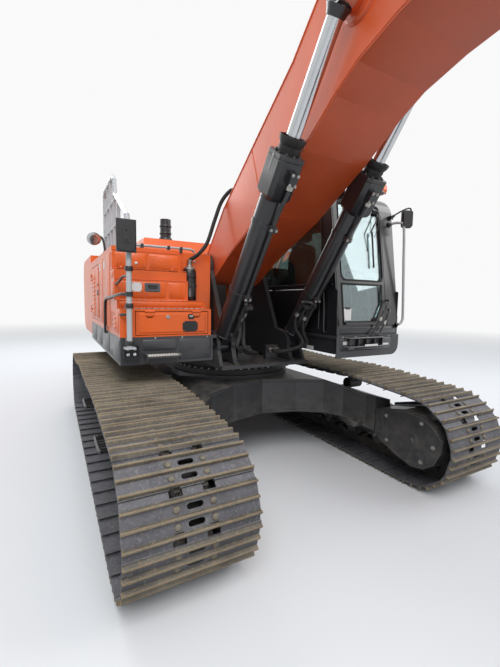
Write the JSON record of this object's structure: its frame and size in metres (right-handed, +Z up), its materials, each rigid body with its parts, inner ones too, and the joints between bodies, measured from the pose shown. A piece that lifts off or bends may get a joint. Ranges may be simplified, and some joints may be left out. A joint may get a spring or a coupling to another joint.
{
  "type": "crawler excavator",
  "caption": "Long-carriage crawler excavator with cab, stepped side boxes, one-piece boom, arm, bucket linkage and rear counterweight.",
  "frame": {"origin": "on the ground below the middle of the parked machine's length and width", "axes": "+Z up, the front and the bucket towards -Y, +X to the machine's left, the cab side"},
  "size_m": [3.5, 10.553, 4.8866],
  "materials": {
    "orange_paint": "satin orange enamel, dusty",
    "boom_paint": "faded salmon enamel",
    "skirt_paint": "dark grey enamel",
    "barrel_paint": "charcoal enamel",
    "rail_paint": "pale grey enamel",
    "frame_paint": "charcoal enamel, dusty",
    "cab_paint": "charcoal enamel",
    "track_steel": "worn rolled steel with dust",
    "running_gear": "dark cast steel",
    "bearing_steel": "machined steel, oiled",
    "engine_iron": "cast iron",
    "black_steel": "black enamel",
    "cab_glass": "clear tinted glass",
    "seat_cloth": "woven seat cloth",
    "console_plastic": "moulded plastic",
    "black_plastic": "moulded plastic",
    "line_steel": "painted steel lines",
    "rod_chrome": "hard chrome",
    "cast_steel": "painted cast steel",
    "bucket_paint": "worn dark enamel",
    "tooth_steel": "worn bare steel"
  },
  "bodies": {
    "undercarriage": {"car_body": "frame_paint", "track_frames": "frame_paint", "track_left": "track_steel", "track_right": "track_steel", "idlers": "running_gear", "sprockets": "running_gear", "rollers": "running_gear", "swing_bearing": "bearing_steel"},
    "upper": {"main_frame": "frame_paint", "deck": "skirt_paint", "counterweight": "orange_paint", "engine_block": "engine_iron", "left_housing": "orange_paint", "right_housing": "orange_paint", "tool_box": "orange_paint", "handrails": "rail_paint", "cab_shell": "cab_paint", "cab_roof": "orange_paint", "cab_glass": "cab_glass", "seat": "seat_cloth", "consoles": "console_plastic", "cab_fittings": "black_plastic"},
    "engine_hood": {"engine_hood": "orange_paint", "exhaust": "black_steel"},
    "left_door": {"left_door": "orange_paint"},
    "right_door": {"right_door": "orange_paint"},
    "tool_box_door": {"tool_box_door": "orange_paint"},
    "cab_door": {"cab_door": "cab_paint", "door_glass": "cab_glass"},
    "boom": {"boom": "boom_paint", "boom_lines": "line_steel"},
    "boom_cylinder_left": {"boom_cylinder_left": "barrel_paint"},
    "boom_cylinder_right": {"boom_cylinder_right": "barrel_paint"},
    "boom_rod_left": {"boom_rod_left": "rod_chrome"},
    "boom_rod_right": {"boom_rod_right": "rod_chrome"},
    "arm": {"arm": "boom_paint"},
    "arm_cylinder": {"arm_cylinder": "barrel_paint"},
    "arm_rod": {"arm_rod": "rod_chrome"},
    "bucket_cylinder": {"bucket_cylinder": "barrel_paint"},
    "bucket_rod": {"bucket_rod": "rod_chrome"},
    "rocker": {"rocker": "cast_steel"},
    "bucket_link": {"bucket_link": "cast_steel"},
    "bucket": {"bucket": "bucket_paint", "bucket_teeth": "tooth_steel"}
  },
  "joints": [
    {"name": "swing", "type": "hinge", "parent": "undercarriage", "child": "upper", "pos_m": [0, 1.7866, 1], "axis": [0, 0, 1], "continuous": true},
    {"name": "boom_lift", "type": "hinge", "parent": "upper", "child": "boom", "pos_m": [0, 1.7366, 2.15], "axis": [-1, 0, 0], "range_deg": [-41, 45]},
    {"name": "arm_crowd", "type": "hinge", "parent": "boom", "child": "arm", "pos_m": [0, -4.5116, 3.94164], "axis": [1, 0, 0], "range_deg": [-75, 38]},
    {"name": "bucket_curl", "type": "hinge", "parent": "arm", "child": "bucket", "pos_m": [0, -4.5116, 0.74164], "axis": [1, 0, 0], "range_deg": [-60, 90]},
    {"name": "boom_cylinder_left_swing", "type": "hinge", "parent": "upper", "child": "boom_cylinder_left", "pos_m": [0.44, 1.0866, 1.29], "axis": [-1, 0, 0], "range_deg": [-37, 40.57]},
    {"name": "boom_rod_left_slide", "type": "slide", "parent": "boom_cylinder_left", "child": "boom_rod_left", "axis": [0, -0.5961, 0.8029], "range_m": [-0.7124, 0.781]},
    {"name": "boom_cylinder_right_swing", "type": "hinge", "parent": "upper", "child": "boom_cylinder_right", "pos_m": [-0.44, 1.0866, 1.29], "axis": [-1, 0, 0], "range_deg": [-37, 40.57]},
    {"name": "boom_rod_right_slide", "type": "slide", "parent": "boom_cylinder_right", "child": "boom_rod_right", "axis": [0, -0.5961, 0.8029], "range_m": [-0.7124, 0.781]},
    {"name": "arm_cylinder_swing", "type": "hinge", "parent": "boom", "child": "arm_cylinder", "pos_m": [0, -1.10876, 4.3807], "axis": [-1, 0, 0], "range_deg": [-2.39, 4.23]},
    {"name": "arm_rod_slide", "type": "slide", "parent": "arm_cylinder", "child": "arm_rod", "axis": [0, -0.9949, 0.1005], "range_m": [-1.0301, 0.5269]},
    {"name": "rocker_swing", "type": "hinge", "parent": "arm", "child": "rocker", "pos_m": [0, -4.5716, 1.37264], "axis": [1, 0, 0], "range_deg": [-58.28, 87.17]},
    {"name": "link_swing", "type": "hinge", "parent": "rocker", "child": "bucket_link", "pos_m": [0, -5.06839, 1.45146], "axis": [1, 0, 0], "range_deg": [-84.79, 56.7]},
    {"name": "bucket_cylinder_swing", "type": "hinge", "parent": "arm", "child": "bucket_cylinder", "pos_m": [0, -5.1516, 3.49164], "axis": [-1, 0, 0], "range_deg": [-1.29, 1.03]},
    {"name": "bucket_rod_slide", "type": "slide", "parent": "bucket_cylinder", "child": "bucket_rod", "axis": [0, 0.0408, -0.9992], "range_m": [-0.3935, 0.5853]},
    {"name": "cab_door_hinge", "type": "hinge", "parent": "upper", "child": "cab_door", "pos_m": [1.499, 1.6666, 2.2], "axis": [0, 0, -1], "range_deg": [-165, 0]},
    {"name": "left_door_hinge", "type": "hinge", "parent": "upper", "child": "left_door", "pos_m": [1.505, 2.4796, 1.8], "axis": [0, 0, -1], "range_deg": [0, 100]},
    {"name": "right_door_hinge", "type": "hinge", "parent": "upper", "child": "right_door", "pos_m": [-1.505, 3.4136, 1.8], "axis": [0, 0, -1], "range_deg": [0, 100]},
    {"name": "hood_hinge", "type": "hinge", "parent": "upper", "child": "engine_hood", "pos_m": [0, 2.5346, 2.304], "axis": [1, 0, 0], "range_deg": [0, 60]},
    {"name": "tool_box_door_hinge", "type": "hinge", "parent": "upper", "child": "tool_box_door", "pos_m": [-1.005, 0.9306, 1.648], "axis": [-1, 0, 0], "range_deg": [0, 85]}
  ],
  "couplings": [
    {"joint": "boom_cylinder_left_swing", "follows": "boom_lift", "ratio": 0.89034},
    {"joint": "boom_rod_left_slide", "follows": "boom_lift", "m_per_rad": 0.98163},
    {"joint": "boom_cylinder_right_swing", "follows": "boom_lift", "ratio": 0.89034},
    {"joint": "boom_rod_right_slide", "follows": "boom_lift", "m_per_rad": 0.98163},
    {"joint": "arm_cylinder_swing", "follows": "arm_crowd", "ratio": -0.04967},
    {"joint": "arm_rod_slide", "follows": "arm_crowd", "m_per_rad": 0.7793},
    {"joint": "rocker_swing", "follows": "bucket_curl", "ratio": 0.96298},
    {"joint": "link_swing", "follows": "bucket_curl", "ratio": -0.93661},
    {"joint": "bucket_cylinder_swing", "follows": "bucket_curl", "ratio": -0.00883},
    {"joint": "bucket_rod_slide", "follows": "bucket_curl", "m_per_rad": 0.36625}
  ]
}
